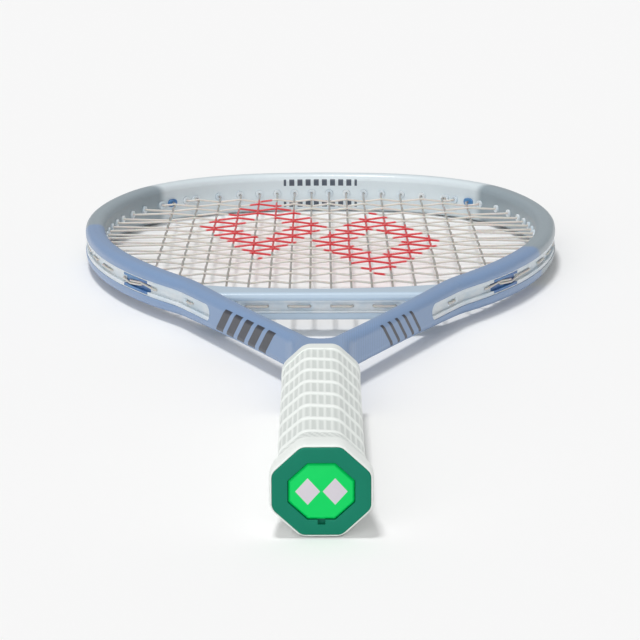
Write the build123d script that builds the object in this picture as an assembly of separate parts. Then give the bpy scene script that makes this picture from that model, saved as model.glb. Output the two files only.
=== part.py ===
"""Tennis racket, strung and gripped, as separate named pieces. Millimetres.

Design frame: x to the right, y from the butt face (0) to the tip, z up from the string plane.
Every piece is moved to the row frame, origin at the centre of the bounding box's bottom, on export.
"""
from build123d import *
import os
from math import cos, hypot, pi, radians, sin, tan

# ---------------------------------------------------------------- overall sizes
racket_length = 685.0
tube_width = 11.0            # plan width of the hoop tube
wall = 1.8                   # carbon wall, inside and top
groove_wall = 1.6            # carbon wall behind the string groove
edge_radius = 4.0            # rounding of the tube's long edges

# beam height, stated at places measured from the tip
beam_stations = [(0.0, 23.4), (164.0, 19.2), (292.0, 19.6), (380.0, 16.6), (500.0, 17.6), (660.0, 17.6)]

# hoop outline from the tip round to the arm, as tangent arcs: radius and turn in degrees
hoop_arcs = [(250.0, 7.0), (108.0, 60.0), (206.0, 25.0), (310.0, 33.0)]
shoulder_radius = 90.0       # counter-curve between hoop and arm
arm_angle = 25.0             # outer line of an arm, from the racket's axis
arm_inner_angle = 24.2       # inner line of an arm, so that the arms thicken towards the shaft
yoke_radius = 40.0           # blend between an arm and the shaft
crotch_radius = 5.0
shaft_half_width = 13.0
shaft_web = 1.6              # web between the two shaft cavities

# ---------------------------------------------------------------- throat bridge
head_inner_length = 336.0    # frame tip to the bridge's hoop-side face, on the axis
bridge_width = 14.0
bridge_beam = 14.0
bridge_curve = 190.0         # plan radius of the hoop-side face
bridge_edge_radius = 3.0
bridge_groove_depth = 2.6
bridge_strip_height = 6.5
bridge_strip_reach = 44.0    # half length of the strip

# ---------------------------------------------------------------- string channel and grommet strips
groove_depth = 3.0
strip_height = 8.4
groove_end = 366.0           # frame tip to the rounded lower end of the side grooves
strip_clearance = 0.1        # strip to groove, all round
strip_sink = 0.3             # strip face below the frame's outer face
channel_depth = 1.6          # string channel in the strip's face
channel_height = 4.4
pass_level = 1.4             # how far a turn is lifted where it passes another string's hole
bumper_start = 79.0          # where the bumper guard takes over, down from the tip
bumper_proud = 1.0
bumper_height = 12.5
barrel_wall = 1.45
barrel_reach = 1.2           # barrel end beyond the hoop's inner wall
hole_clearance = 0.1         # barrel to frame hole
skin_gap = 0.04              # bumper skin to the frame's outer face
upper_insert = (33.0, 45.2)  # stretch that an upper corner insert fills, down from the frame tip
lower_insert = (276.0, 302.0)  # the same for a lower one
insert_height = 7.2
insert_oval = 1.3            # half the length that an insert's main barrel is drawn out by

# ---------------------------------------------------------------- strings
string_diameter = 1.2
string_play = 0.15           # string to barrel bore
weave_gap = 0.06             # between crossing strings
weave_bend = 8.0
mouth_bend = 2.5
turn_bend = 1.0
string_leg = 3.0             # part of a string's way in that belongs to its outer turn
tail_reach = 1.6             # tail's end beyond its grommet's inner wall
channel_step = 9.0           # spacing of the points that a turn follows round the frame
least_turn = 0.4             # degrees; a smaller turn counts as straight
main_first = 5.4             # centre line to the first main
main_gaps = [10.5, 10.6, 10.8, 11.6, 12.4, 12.9, 14.0]
cross_top = 39.0             # frame tip to the highest cross
cross_gaps = [15.8, 15.6, 15.6, 15.6, 12.4, 12.6, 12.4, 12.0, 11.4]
cross_gaps += [11.6, 12.0, 12.0, 12.0, 12.0, 12.4, 16.0, 17.0, 20.0]
bridge_mains = 4             # mains on each side that pass through the bridge
slanted_mains = {4: 45.0, 5: 25.0}   # mains that leave through the arm, and their slant in degrees
tail_gap = 0.2               # tail to the string that it shares a hole with
barrel_root = 0.3            # barrel's start below the string channel's floor

# ---------------------------------------------------------------- handle
handle_width = 31.0          # bare octagon, across the side faces
handle_height = 27.6
handle_top_flat = 12.7
handle_side_flat = 10.8
pallet_start = 5.0
pallet_end = 183.0
compartment_inset = 3.6
shaft_start = 16.0
grip_thickness = 1.5
grip_corner = 7.0            # rounding that the wrap gives the handle's edges
grip_flare = 1.2             # grip thickness over the butt cap's lip
grip_start = 0.5             # the rolled lip's front, behind the butt face
grip_edge = 0.6              # rounding of the rolled lip, as a chamfer
grip_lip = 8.0               # length of the lip's full flare
grip_taper = 9.0             # length over which the grip narrows, past the cap
tape_width = 9.0
tape_thickness = 0.4
cap_flare = 3.3              # cap lip beyond the bare octagon
cap_wall = 1.3
cap_length = 22.0
cap_lip = 3.5
cap_corner = 4.0
cap_edge = 0.6               # chamfer of the cap's front edge
door_inset = 2.9             # door edge inside the bare octagon
door_thickness = 3.0
door_sink = 0.2
door_clearance = 0.15
door_ledge = 1.4
door_bevel = 0.9
door_leg = (5.0, 1.4, 8.0)   # width, thickness, length of a door leg
pry_slot = (2.9, 1.9, 2.2)   # width, height, depth
staple_wire = 0.8
staple_crown = 9.0
staple_leg = 5.0
staple_place = 20.0

# ---------------------------------------------------------------- worked-out values
frame_tip = racket_length - bumper_proud
string_r = string_diameter / 2
bore_r = string_r + string_play
barrel_r = bore_r + barrel_wall
hole_r = barrel_r + hole_clearance
channel_floor = strip_sink + channel_depth
string_inset = channel_floor - string_r - string_play
weave_sag = 0.07
weave_height = string_r + weave_gap / 2 + weave_sag
bend_reach = barrel_reach + 1.6   # where a string bends, inside the hoop's inner wall
bridge_face = frame_tip - head_inner_length
bridge_back = bridge_face - bridge_width
mains = [main_first + sum(main_gaps[:i]) for i in range(len(main_gaps) + 1)]
crosses = [frame_tip - cross_top - sum(cross_gaps[:i]) for i in range(len(cross_gaps) + 1)][::-1]
far = 400.0                  # larger than the racket is wide or high


class Outline:
    """The right half of the frame's outer outline, walked from the tip, with parallel copies."""

    def __init__(self):
        self.segments = []
        x, y, heading = 0.0, frame_tip, 0.0
        turns = [(radius, turn) for radius, turn in hoop_arcs]
        hoop_turn = sum(turn for radius, turn in turns)
        turns.append((-shoulder_radius, hoop_turn - 90 - arm_angle))
        for radius, turn in turns:
            x, y, heading = self.add(x, y, heading, radius, turn)
        self.arm_start = sum(self.length(segment) for segment in self.segments)
        yoke_drop = yoke_radius * (1 - cos(radians(arm_angle)))
        arm = (x - shaft_half_width - yoke_drop) / sin(radians(arm_angle))
        x, y, heading = self.add(x, y, heading, 0, arm)
        x, y, heading = self.add(x, y, heading, -yoke_radius, arm_angle)
        self.add(x, y, heading, 0, y - shaft_start)

    def add(self, x, y, heading, radius, turn):
        """radius 0 is a straight of length turn; a negative radius curves the other way."""
        segment = (x, y, heading, radius, turn)
        self.segments.append(segment)
        point, end_heading = self.place(segment, self.length(segment), 0)
        return point[0], point[1], end_heading

    @staticmethod
    def length(segment):
        radius, turn = segment[3:]
        return turn if radius == 0 else abs(radius) * radians(turn)

    @staticmethod
    def place(segment, along, inset):
        """The point and heading at a distance along a segment, inset towards the racket's middle."""
        x, y, heading, radius, turn = segment
        if radius == 0:
            x += along * cos(radians(heading))
            y -= along * sin(radians(heading))
        else:
            centre_x = x - radius * sin(radians(heading))
            centre_y = y - radius * cos(radians(heading))
            heading += along / radius * 180 / pi
            x = centre_x + radius * sin(radians(heading))
            y = centre_y + radius * cos(radians(heading))
        return (x - inset * sin(radians(heading)), y - inset * cos(radians(heading))), heading

    def at(self, along, inset=0.0):
        for segment in self.segments:
            length = self.length(segment)
            if along <= length or segment is self.segments[-1]:
                return self.place(segment, along, inset)
            along -= length

    def find(self, test, low, high, inset=0.0):
        """The distance at which test(point) turns true between low and high."""
        for _ in range(40):
            middle = (low + high) / 2
            if test(self.at(middle, inset)[0]):
                high = middle
            else:
                low = middle
        return (low + high) / 2

    def edges(self, inset, count):
        result = []
        for segment in self.segments[:count]:
            length = self.length(segment)
            start, middle, end = (self.place(segment, length * share, inset)[0] for share in (0, 0.5, 1))
            result.append(Line(start, end) if segment[3] == 0 else ThreePointArc(start, middle, end))
        return result


outline = Outline()
hoop_segments = len(hoop_arcs) + 1


def outward(heading):
    """The unit vector out of the hoop at a heading."""
    return sin(radians(heading)), cos(radians(heading))


def half_length(turn_limit):
    """Length of the outline until it has turned by turn_limit degrees."""
    total = 0.0
    for radius, turn in hoop_arcs:
        part = min(turn, turn_limit)
        total += radius * radians(part)
        turn_limit -= part
    return total


widest = half_length(90)


# ---------------------------------------------------------------- shapes shared by the pieces
def mirrored(edges):
    return edges + [edge.mirror(Plane.YZ) for edge in edges]


def plan_outer(inset):
    """The whole racket frame's outer plan, inset all round."""
    edges = outline.edges(inset, len(outline.segments))
    end = edges[-1] @ 1
    edges.append(Line(end, (0, end.Y)))
    return make_face(Wire(mirrored(edges)))


def plan_inner(inset):
    """The opening inside the frame: the hoop, and the throat down to the crotch."""
    edges = outline.edges(tube_width - inset, hoop_segments)
    start = edges[-1] @ 1
    slope = radians(90 - arm_inner_angle)
    radius = crotch_radius + inset
    tangent_x = radius * sin(slope)
    tangent_y = start.Y - (start.X - tangent_x) * tan(slope)
    edges.append(Line((start.X, start.Y), (tangent_x, tangent_y)))
    centre_y = tangent_y + radius * cos(slope)
    middle = (radius * sin(slope / 2), centre_y - radius * cos(slope / 2))
    edges.append(ThreePointArc((tangent_x, tangent_y), middle, (0, centre_y - radius)))
    return make_face(Wire(mirrored(edges)))


def beam_profile(inset):
    """Everything between the frame's lower and upper side lines."""
    points = [(0, frame_tip - drop, height / 2 - inset) for drop, height in beam_stations]
    upper = Spline(points, tangents=[(0, -1, 0), (0, -1, 0)])
    lower = upper.mirror(Plane.XY)
    ends = []
    for end, y in ((0, frame_tip + far), (1, -far)):
        level = (upper @ end).Z
        ends += [Line(upper @ end, (0, y, level)), Line((0, y, level), (0, y, -level))]
        ends.append(Line((0, y, -level), lower @ end))
    return extrude(make_face(Wire([upper, lower] + ends)), far / 2, both=True)


def band(outer_inset, inner_inset, height):
    """A band that follows the frame's outline, between two insets."""
    ring = plan_outer(outer_inset) - plan_outer(inner_inset)
    return extrude(ring, height / 2, both=True)


def slab(low_y, high_y, height=far, width=far):
    return Pos(0, (low_y + high_y) / 2, 0) * Box(width, high_y - low_y, height)


def rounded_start(start, height):
    """The side view of a groove that begins with a full round at start and runs on past the tip."""
    body = slab(start + height / 2, frame_tip + far, height)
    end = Pos(0, start + height / 2, 0) * Rot(0, 90, 0) * Cylinder(height / 2, far)
    return body + end


def rod(start, end, radius):
    """A cylinder from one point to another."""
    axis = Vector(*end) - Vector(*start)
    return extrude(Plane(origin=start, z_dir=axis) * Circle(radius), axis.length)


def octagon(offset_by, corner=0.0):
    """The handle's octagon in the x-z plane, grown or shrunk parallel to its faces."""
    half_w, half_h = handle_width / 2, handle_height / 2
    top, side = handle_top_flat / 2, handle_side_flat / 2
    points = [(top, half_h), (half_w, side), (half_w, -side), (top, -half_h)]
    points += [(-x, z) for x, z in points[::-1]]
    shape = Polygon(*points, align=None)
    if offset_by:
        shape = offset(shape, offset_by, kind=Kind.INTERSECTION)
    if corner:
        shape = fillet(shape.vertices(), corner)
    return shape


def cross_plane(y):
    """The plane across the handle at y, with its x to the right and its y up."""
    return Plane(origin=(0, y, 0), x_dir=(1, 0, 0), z_dir=(0, -1, 0))


def prism(offset_by, low_y, high_y, corner=0.0):
    face = cross_plane(high_y) * octagon(offset_by, corner)
    return extrude(face, high_y - low_y, dir=(0, -1, 0))


def taper(stations, corner=0.0):
    """A solid through octagons, each given as a y and an offset."""
    sections = [(cross_plane(y) * octagon(grow, corner)).face() for y, grow in stations]
    return loft(sections, ruled=True)


# ---------------------------------------------------------------- string holes
class Hole:
    """A string hole in the right half. bend lies on the string's line, exit in the outer channel."""

    def __init__(self, along, bend, exit_point):
        self.along = along
        self.bend = bend
        self.exit = exit_point
        run = hypot(bend[0] - exit_point[0], bend[1] - exit_point[1])
        self.axis = ((bend[0] - exit_point[0]) / run, (bend[1] - exit_point[1]) / run)
        self.run = run

    def point(self, distance, side=1, shift=0.0):
        """A point on the axis, measured inwards from exit and shifted towards the tip."""
        x = self.exit[0] + self.axis[0] * distance + self.axis[1] * shift
        y = self.exit[1] + self.axis[1] * distance - self.axis[0] * shift
        return (side * x, y, 0.0)


def square_hole(test, low, high):
    """A hole square to the tube's wall, where the inner mouth passes test."""
    along = outline.find(test, low, high, tube_width + bend_reach)
    bend = outline.at(along, tube_width + bend_reach)[0]
    return Hole(along, bend, outline.at(along, string_inset)[0])


def bridge_front(x):
    return bridge_face + bridge_curve - (bridge_curve ** 2 - x ** 2) ** 0.5


def slanted_hole(x, slant):
    """A hole from the bridge's hoop side through the arm, slanted outwards."""
    bend = (x, bridge_front(x) + bend_reach)
    out = (sin(radians(slant)), -cos(radians(slant)))

    def passed(point):
        return (point[0] - bend[0]) * out[1] - (point[1] - bend[1]) * out[0] > 0

    along = outline.find(passed, widest, outline_end, string_inset)
    return Hole(along, bend, outline.at(along, string_inset)[0])


def throat_hole(index):
    x = mains[index]
    if index < bridge_mains:
        return Hole(None, (x, bridge_front(x) + bend_reach), (x, bridge_back + string_inset))
    if index in slanted_mains:
        return slanted_hole(x, slanted_mains[index])
    return square_hole(lambda p: p[0] < x, widest, outline.arm_start)


def cross_hole(y):
    above = y > outline.at(widest)[0][1]
    low, high = (0.0, widest) if above else (widest, outline.arm_start)
    return square_hole(lambda p: p[1] < y, low, high)


outline_end = outline.arm_start + outline.length(outline.segments[hoop_segments])
tip_holes = [square_hole(lambda p, x=x: p[0] > x, 0.0, widest) for x in mains]
throat_holes = [throat_hole(index) for index in range(len(mains))]
cross_holes = [cross_hole(y) for y in crosses]
hoop_holes = tip_holes + throat_holes[bridge_mains:] + cross_holes
tie_main = len(mains) - 2          # the mains' tails share this main's hole at the tip
tie_low = 1                        # the first cross's tail shares this cross's hole, on the right
tie_high = len(crosses) - 2        # the last cross's tail shares this cross's hole, on the left
tail_shift = string_diameter + tail_gap


def spread(hole):
    """Where a hole's barrel lies beside its axis: once, or three times for a drawn-out one."""
    return (-insert_oval, 0.0, insert_oval) if hole in insert_mains else (0.0,)


def barrel(hole, radius, shift=0.0):
    """A grommet barrel from the strip to its mouth inside the hoop."""
    start = hole.point(channel_floor - string_inset + barrel_root, 1, shift)
    return rod(start, hole.point(hole.run - bend_reach + barrel_reach, 1, shift), radius)


def bore(hole, radius, shift=0.0):
    return rod(hole.point(0.0, 1, shift), hole.point(hole.run, 1, shift), radius)


def frame_bore(hole, radius, shift=0.0):
    return rod(hole.point(channel_floor - string_inset, 1, shift), hole.point(hole.run, 1, shift), radius)


def flipped(shape):
    return mirror(shape, Plane.YZ)


def shared(side):
    """Holes on one side that also take a tail, with the way that the tail is shifted."""
    pairs = [(tip_holes[tie_main], -1)]
    if side > 0:
        pairs.append((cross_holes[tie_low], -1))
    else:
        pairs.append((cross_holes[tie_high], 1))
    return pairs


# ---------------------------------------------------------------- frame and bridge
def tube_body(inset=0.0):
    plan = plan_outer(inset) - plan_inner(inset)
    return extrude(plan, far / 4, both=True) & beam_profile(inset)


def rounded_frame():
    body = tube_body()
    long_edges = []
    for edge in body.edges():
        start, middle, end = edge @ 0, edge @ 0.5, edge @ 1
        level = hypot(start.X - end.X, start.Y - end.Y) > 0.01
        if level and abs(middle.Z) > edge_radius and abs(middle.Y - shaft_start) > 0.01:
            long_edges.append(edge)
    return fillet(long_edges, edge_radius)


def frame_cavity():
    deep = groove_depth + groove_wall
    cavity = extrude(plan_outer(deep) - plan_inner(wall), far / 4, both=True) & beam_profile(wall)
    return cavity - slab(-far, bridge_back, far, shaft_web)


def groove(clearance=0.0):
    """The channel round the outside that the strips sit in, or a strip's own outline."""
    start = frame_tip - groove_end + clearance
    ring = band(-1 if clearance == 0 else strip_sink, groove_depth - clearance, strip_height - 2 * clearance)
    return ring & rounded_start(start, strip_height - 2 * clearance)


def both_sides(shapes):
    return shapes + [flipped(shape) for shape in shapes]


def hole_cutters(holes):
    cutters = []
    for hole in holes:
        cutters += [frame_bore(hole, hole_r, shift) for shift in spread(hole)]
    return both_sides(cutters)


def tail_cutters():
    cutters = []
    for side in (1, -1):
        for hole, way in shared(side):
            shape = frame_bore(hole, hole_r, way * tail_shift)
            cutters.append(shape if side > 0 else flipped(shape))
    return cutters


def make_frame(solid_frame):
    frame = solid_frame - frame_cavity()
    frame -= groove()
    frame -= hole_cutters(hoop_holes)
    frame -= tail_cutters()
    return frame


def bridge_plan(inset, reach):
    """The bridge's plan: straight on the butt side, an arc on the hoop side."""
    radius = bridge_curve + inset
    centre_y = bridge_face + bridge_curve
    rise = radius - (radius ** 2 - reach ** 2) ** 0.5
    front = centre_y - radius
    arc = ThreePointArc((-reach, front + rise), (0, front), (reach, front + rise))
    low = bridge_back + inset
    sides = [Line((reach, front + rise), (reach, low)), Line((reach, low), (-reach, low))]
    sides.append(Line((-reach, low), (-reach, front + rise)))
    return make_face(Wire([arc] + sides))


def bridge_channel(clearance=0.0):
    depth = bridge_groove_depth - clearance
    reach = bridge_strip_reach - clearance
    height = bridge_strip_height - 2 * clearance
    outer = -1.0 if clearance == 0 else strip_sink
    body = Pos(0, bridge_back + (outer + depth) / 2, 0) * Box(2 * (reach - height / 2), depth - outer, height)
    for side in (-1, 1):
        body += rod((side * (reach - height / 2), bridge_back + outer, 0),
                    (side * (reach - height / 2), bridge_back + depth, 0), height / 2)
    return body


def make_bridge(solid_frame):
    body = extrude(bridge_plan(0, 2 * bridge_strip_reach), bridge_beam / 2, both=True)
    long_edges = [edge for edge in body.edges() if abs((edge @ 0.5).Z) > bridge_beam / 2 - 0.01
                  and abs((edge @ 0.5).X) < bridge_strip_reach]
    body = fillet(long_edges, bridge_edge_radius) - solid_frame
    deep = bridge_groove_depth + wall
    inner = bridge_plan(wall, bridge_strip_reach) & Pos(0, frame_tip, 0) * Rectangle(
        far, 2 * (frame_tip - bridge_back - deep))
    body -= extrude(inner, bridge_beam / 2 - wall, both=True)
    body -= bridge_channel()
    body -= both_sides([frame_bore(hole, hole_r) for hole in throat_holes])
    solids = sorted(body.solids(), key=lambda solid: solid.volume)
    return solids[-1]


# ---------------------------------------------------------------- grommet strips and inserts
insert_mains = [tip_holes[-1], throat_holes[-1]]
upper_holes = [tip_holes[-1]]
lower_holes = [throat_holes[-1], cross_holes[0]]
bumper_holes = [hole for hole in tip_holes + cross_holes if hole.exit[1] > frame_tip - bumper_start
                and hole not in upper_holes]
side_holes = [hole for hole in throat_holes[bridge_mains:] + cross_holes
              if hole not in bumper_holes + upper_holes + lower_holes]


def channel():
    return band(-2 * bumper_proud - 1, channel_floor, channel_height) & slab(frame_tip - groove_end, far * 3)


def insert_window(stretch, clearance=0.0):
    far_drop, near_drop = stretch[1] - clearance, stretch[0] + clearance
    return slab(frame_tip - far_drop, frame_tip - near_drop, insert_height - 2 * clearance)


def add_barrels(body, holes, side):
    """Barrels and bores of some right-half holes, on the right or mirrored to the left."""
    turn = (lambda shape: shape) if side > 0 else flipped
    tails = [(hole, way) for hole, way in shared(side) if hole in holes]
    for hole in holes:
        for shift in spread(hole):
            body += turn(barrel(hole, barrel_r, shift))
    for hole, way in tails:
        body += turn(barrel(hole, barrel_r, way * tail_shift))
    for hole in holes:
        body -= turn(bore(hole, bore_r))
    for hole, way in tails:
        body -= turn(bore(hole, bore_r, way * tail_shift))
    return body


def make_side_strip(side):
    strip = groove(strip_clearance) & slab(-far, frame_tip - bumper_start - strip_clearance)
    strip &= Pos(side * far / 2, far, 0) * Box(far, 4 * far, far)
    strip -= insert_window(lower_insert)
    strip -= channel()
    strip = add_barrels(strip, side_holes, side)
    slanted = [throat_holes[index] for index in slanted_mains]
    return strip - string_return(*slanted, side, pass_level, bore_r)


def make_bumper():
    zone = slab(frame_tip - bumper_start, far * 3)
    inside = band(-bumper_proud / 2, groove_depth - strip_clearance, strip_height - 2 * strip_clearance)
    skin = band(-bumper_proud, -skin_gap, bumper_height)
    bumper = (inside + skin) & zone
    bumper -= insert_window(upper_insert)
    bumper -= channel()
    bumper = add_barrels(bumper, bumper_holes, 1)
    return add_barrels(bumper, bumper_holes, -1)


def make_insert(stretch, holes, side):
    body = band(strip_sink, groove_depth - strip_clearance, far / 4) & insert_window(stretch, strip_clearance)
    body &= Pos(side * far / 2, far, 0) * Box(far, 4 * far, far)
    body -= channel()
    return add_barrels(body, holes, side)


def make_bridge_strip():
    strip = bridge_channel(strip_clearance)
    strip -= Pos(0, bridge_back, 0) * Box(
        2 * mains[bridge_mains - 1] + channel_height, 2 * channel_floor, channel_height)
    strip = add_barrels(strip, throat_holes[:bridge_mains], 1)
    return add_barrels(strip, throat_holes[:bridge_mains], -1)


# ---------------------------------------------------------------- strings
def bend_radii(points, wanted, first_and_last):
    """One radius for each corner of a path, up to the wanted one and as its two runs allow."""
    radii = []
    for place, (before, corner, after) in enumerate(zip(points, points[1:], points[2:])):
        most = first_and_last if place in (0, len(points) - 3) else wanted
        one, two = Vector(*corner) - Vector(*before), Vector(*after) - Vector(*corner)
        turn = radians(one.get_angle(two))
        limit = 0.45 * min(one.length, two.length) / tan(turn / 2)
        radii.append(min(most, limit))
    return radii


def without_straights(points):
    """Drops points that lie in line with their neighbours."""
    kept = [points[0]]
    for corner, after in zip(points[1:], points[2:]):
        one, two = Vector(*corner) - Vector(*kept[-1]), Vector(*after) - Vector(*corner)
        if one.get_angle(two) > least_turn:
            kept.append(corner)
    return kept + [points[-1]]


def string_along(points, wanted, first_and_last, radius=string_r):
    points = without_straights(points)
    radii = bend_radii(points, wanted, first_and_last)
    path = FilletPolyline(*points, radius=radii) if radii else Line(*points)
    section = Plane(origin=path @ 0, z_dir=path % 0) * Circle(radius)
    return sweep(section, path)


def weave_level(main_order, cross_order):
    return weave_height if (main_order + cross_order) % 2 == 0 else -weave_height


def main_run(index, side):
    """One main from its throat hole to its tip hole, over and under the crosses."""
    low, high = throat_holes[index], tip_holes[index]
    order = index + len(mains) if side > 0 else len(mains) - 1 - index
    points = [low.point(string_leg, side), low.point(low.run, side)]
    for cross_order, y in enumerate(crosses):
        if low.bend[1] < y < high.bend[1]:
            points.append((side * mains[index], y, weave_level(order, cross_order)))
    points += [high.point(high.run, side), high.point(string_leg, side)]
    return string_along(points, weave_bend, mouth_bend)


def cross_run(cross_order):
    """One cross from its left hole to its right hole."""
    hole, y = cross_holes[cross_order], crosses[cross_order]
    points = [hole.point(string_leg, -1), hole.point(hole.run, -1)]
    lines = [(-x, len(mains) - 1 - i) for i, x in enumerate(mains)][::-1]
    lines += [(x, len(mains) + i) for i, x in enumerate(mains)]
    for x, order in lines:
        if abs(x) < hole.bend[0]:
            points.append((x, y, -weave_level(order, cross_order)))
    points += [hole.point(hole.run, 1), hole.point(string_leg, 1)]
    return string_along(points, weave_bend, mouth_bend)


def along_channel(start, end, side, lift):
    """Points in the channel between two places, lifted past any other string's hole on the way."""
    low, high = min(start, end), max(start, end)
    passed = [hole.along for hole in hoop_holes if low + tail_shift < hole.along < high - tail_shift]
    count = max(1, int((high - low) / channel_step))
    steps = [start + (end - start) * step / (count + 1) for step in range(1, count + 1)]
    steps = [step for step in steps if all(abs(step - along) > channel_step / 2 for along in passed)]
    points = []
    for step in sorted(steps + passed, reverse=start > end):
        x, y = outline.at(step, string_inset)[0]
        rise = 0.0
        for along in passed:
            rise = min(abs(step - start) / abs(along - start), abs(end - step) / abs(end - along), 1.0)
        points.append((side * x, y, lift * rise))
    return points


def string_return(first, second, side, lift, radius=string_r):
    """The string's turn outside the frame, from one hole to the next on the same side."""
    points = [first.point(string_leg, side), first.point(0, side)]
    if first.along is not None:
        points += along_channel(first.along, second.along, side, lift)
    points += [second.point(0, side), second.point(string_leg, side)]
    return string_along(points, weave_bend, turn_bend, radius)


def middle_return():
    """The turn at the tip, between the two middle mains."""
    hole = tip_holes[0]
    points = [hole.point(string_leg, -1), hole.point(0, -1), (0, frame_tip - string_inset, 0)]
    points += [hole.point(0, 1), hole.point(string_leg, 1)]
    return string_along(points, weave_bend, turn_bend)


def tail(first, second, way, side, lift):
    """A string's end, from its last hole along the channel and in through a shared hole."""
    shift = way * tail_shift
    points = [first.point(string_leg, side), first.point(0, side)]
    points += along_channel(first.along, second.along - shift, side, lift)
    points += [second.point(0, side, shift), second.point(second.run - bend_reach + tail_reach, side, shift)]
    return string_along(points, weave_bend, turn_bend)


def main_tails():
    """For each tail: the hole it leaves, the hole it shares, the way it is shifted and its side."""
    return [(tip_holes[-1], tip_holes[tie_main], -1, side) for side in (1, -1)]


def cross_tails():
    low = (cross_holes[0], cross_holes[tie_low], -1, 1)
    high = (cross_holes[-1], cross_holes[tie_high], 1, -1)
    return [low, high]


def main_returns():
    turns = [middle_return()]
    for side in (1, -1):
        for i in range(1, len(mains) - 1, 2):
            turns.append(string_return(tip_holes[i], tip_holes[i + 1], side, pass_level))
        for i in range(0, len(mains), 2):
            turns.append(string_return(throat_holes[i], throat_holes[i + 1], side, pass_level))
    return turns + [tail(*ends, pass_level) for ends in main_tails()]


def cross_returns():
    turns = []
    for i in range(len(crosses) - 1):
        side = -1 if i % 2 == 0 else 1
        turns.append(string_return(cross_holes[i], cross_holes[i + 1], side, -pass_level))
    return turns + [tail(*ends, -pass_level) for ends in cross_tails()]


# ---------------------------------------------------------------- handle
cap_stations = [(0.0, cap_flare - cap_edge), (cap_edge, cap_flare), (cap_lip, cap_flare),
                (cap_length, cap_wall)]
lip_flare = cap_flare + grip_flare
grip_stations = [(grip_start, lip_flare - grip_edge), (grip_start + 2 * grip_edge, lip_flare),
                 (grip_lip, lip_flare), (cap_length, cap_wall + grip_thickness),
                 (cap_length + grip_taper, grip_thickness), (pallet_end, grip_thickness)]
door_back = door_sink + door_thickness


def staples():
    """One staple through the cap into the handle, above and below."""
    level = handle_height / 2 + cap_wall + (cap_flare - cap_wall) * (cap_length - staple_place) / (
        cap_length - cap_lip)
    crown_z = level - staple_wire / 4
    shapes = []
    for side in (1, -1):
        crown = Pos(0, staple_place, side * crown_z) * Box(staple_crown, staple_wire, staple_wire)
        for end in (-1, 1):
            leg_x = end * (staple_crown - staple_wire) / 2
            crown += Pos(leg_x, staple_place, side * (crown_z - staple_leg / 2)) * Box(
                staple_wire, staple_wire, staple_leg)
        shapes.append(crown)
    return shapes


def make_pallet(solid_frame):
    pallet = prism(0, pallet_start, pallet_end) - prism(-compartment_inset, pallet_start - 1, shaft_start)
    return pallet - solid_frame - staples()


def make_cap():
    cap = taper(cap_stations, cap_corner) - prism(0, pallet_start, far)
    cap -= prism(door_clearance - door_inset, -far, door_back + door_clearance)
    cap -= prism(-door_inset - door_ledge, 0, far)
    width, height, depth = pry_slot
    edge = handle_height / 2 - door_inset
    cap -= Pos(0, 0, -edge - height / 2) * Box(width, 2 * depth, height)
    return cap - staples()


def make_door():
    panel = prism(-door_inset, door_sink, door_back)
    front = panel.faces().sort_by(Axis.Y)[0]
    panel = chamfer(front.edges(), door_bevel)
    width, thickness, length = door_leg
    level = handle_height / 2 - door_inset - door_ledge - door_clearance - thickness / 2
    for side in (1, -1):
        panel += Pos(0, door_back + length / 2, side * level) * Box(width, length, thickness)
    return panel


def make_grip():
    core = prism(0, 0, far)
    return taper(grip_stations, grip_corner) - core - taper(cap_stations, cap_corner) - staples()


def make_tape():
    ring = prism(grip_thickness + tape_thickness, pallet_end - tape_width, pallet_end, grip_corner)
    return ring - prism(grip_thickness, 0, far, grip_corner)


# ---------------------------------------------------------------- all pieces
def make_pieces():
    solid_frame = rounded_frame()
    pieces = {
        "frame_hairpin": make_frame(solid_frame),
        "throat_bridge": make_bridge(solid_frame),
        "head_bumper_guard": make_bumper(),
        "bridge_grommet_strip": make_bridge_strip(),
        "main_strings": [main_run(i, side) for side in (-1, 1) for i in range(len(mains))],
        "cross_strings": [cross_run(i) for i in range(len(crosses))],
        "main_string_returns": main_returns(),
        "cross_string_returns": cross_returns(),
        "handle_pallet": make_pallet(solid_frame),
        "butt_cap": make_cap(),
        "butt_door": make_door(),
        "butt_cap_staples": staples(),
        "grip_wrap": make_grip(),
        "grip_finishing_tape": make_tape(),
    }
    for name, side in (("left", -1), ("right", 1)):
        pieces["grommet_strip_" + name] = make_side_strip(side)
        pieces["upper_corner_insert_" + name] = make_insert(upper_insert, upper_holes, side)
        pieces["lower_corner_insert_" + name] = make_insert(lower_insert, lower_holes, side)
    return pieces


def as_one(shapes):
    return Compound(children=[solid for shape in shapes for solid in shape.solids()])


if __name__ == "__main__":
    os.makedirs("parts", exist_ok=True)
    base = handle_height / 2 + cap_flare + grip_flare
    to_row = Pos(0, -racket_length / 2, base)
    for name, piece in make_pieces().items():
        whole = as_one(piece) if isinstance(piece, list) else as_one([piece])
        export_step(to_row * whole, "parts/" + name + ".step")
        print(name, len(whole.solids()), round(whole.volume))
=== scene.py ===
"""Looks of a strung tennis racket, laid out as an add-on. Metres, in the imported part's own frame.

x runs to the right, y from the butt to the tip and z up from the lowest point of the handle.
"""
import math

import bpy
import numpy as np
from mathutils import Matrix, Vector


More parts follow.
